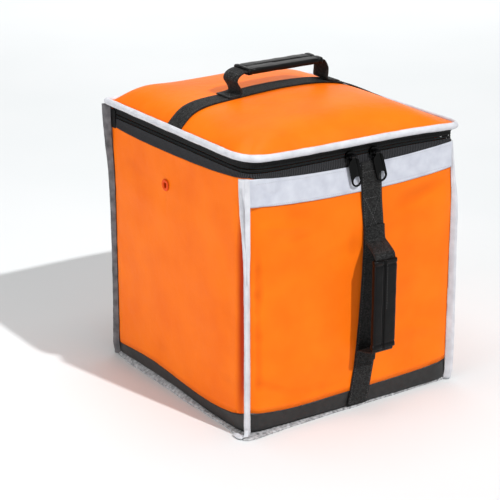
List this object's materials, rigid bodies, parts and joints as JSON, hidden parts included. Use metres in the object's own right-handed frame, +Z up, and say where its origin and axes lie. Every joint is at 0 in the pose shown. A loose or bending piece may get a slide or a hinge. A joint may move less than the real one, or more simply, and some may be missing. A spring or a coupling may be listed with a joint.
{
  "type": "insulated delivery backpack",
  "caption": "Square insulated backpack of orange coated cloth with a domed zip-round lid, light bound edges, black webbing, wrapped carry handles on lid and front, and shoulder straps behind.",
  "frame": {"origin": "on the floor under the middle of the bag's base", "axes": "+Z up, the front with its handle and the two zip pullers faces -Y, +X towards the right seen from the front"},
  "size_m": [0.4172, 0.5067, 0.5221],
  "materials": {
    "orange_cloth": "coated woven cloth with a soft sheen over padding",
    "black_cloth": "black coated cloth, matt",
    "light_band": "silver-grey reflective cloth, satin",
    "light_binding": "light grey binding tape, satin",
    "black_webbing": "woven webbing with a speckled face",
    "grip_wrap": "smooth coated wrap closed along a slit",
    "padded_strap": "padded black cloth",
    "zip_tape": "fine ribbed zip tape",
    "zip_coil": "black coil",
    "black_metal": "glossy black lacquer",
    "orange_enamel": "semi-gloss enamel"
  },
  "bodies": {
    "bag": {"front_panel": "orange_cloth", "left_panel": "orange_cloth", "right_panel": "orange_cloth", "back_panel": "orange_cloth", "lid_panel": "orange_cloth", "base_panel": "black_cloth", "front_strip": "black_cloth", "left_strip": "black_cloth", "right_strip": "black_cloth", "back_strip": "black_cloth", "reflective_band": "light_band", "eyelet": "orange_enamel", "zip_lower_tape": "zip_tape", "zip_upper_tape": "zip_tape", "zip_coil": "zip_coil", "lid_binding": "light_binding", "base_binding": "light_binding", "front_left_binding": "light_binding", "front_right_binding": "light_binding", "back_left_binding": "light_binding", "back_right_binding": "light_binding", "lid_strap": "black_webbing", "front_strap": "black_webbing", "top_handle": "black_webbing", "front_handle": "black_webbing", "top_grip": "grip_wrap", "front_grip": "grip_wrap", "left_shoulder_strap": "padded_strap", "right_shoulder_strap": "padded_strap", "slider_left": "black_metal", "slider_right": "black_metal"},
    "puller_left": {"puller_left": "black_metal"},
    "puller_right": {"puller_right": "black_metal"}
  },
  "joints": [
    {"name": "puller_left_swing", "type": "hinge", "parent": "bag", "child": "puller_left", "pos_m": [-0.01215, -0.2045, 0.41715], "axis": [-1, 0, 0], "range_deg": [0, 150]},
    {"name": "puller_right_swing", "type": "hinge", "parent": "bag", "child": "puller_right", "pos_m": [0.03285, -0.2045, 0.41715], "axis": [-1, 0, 0], "range_deg": [0, 150]}
  ]
}
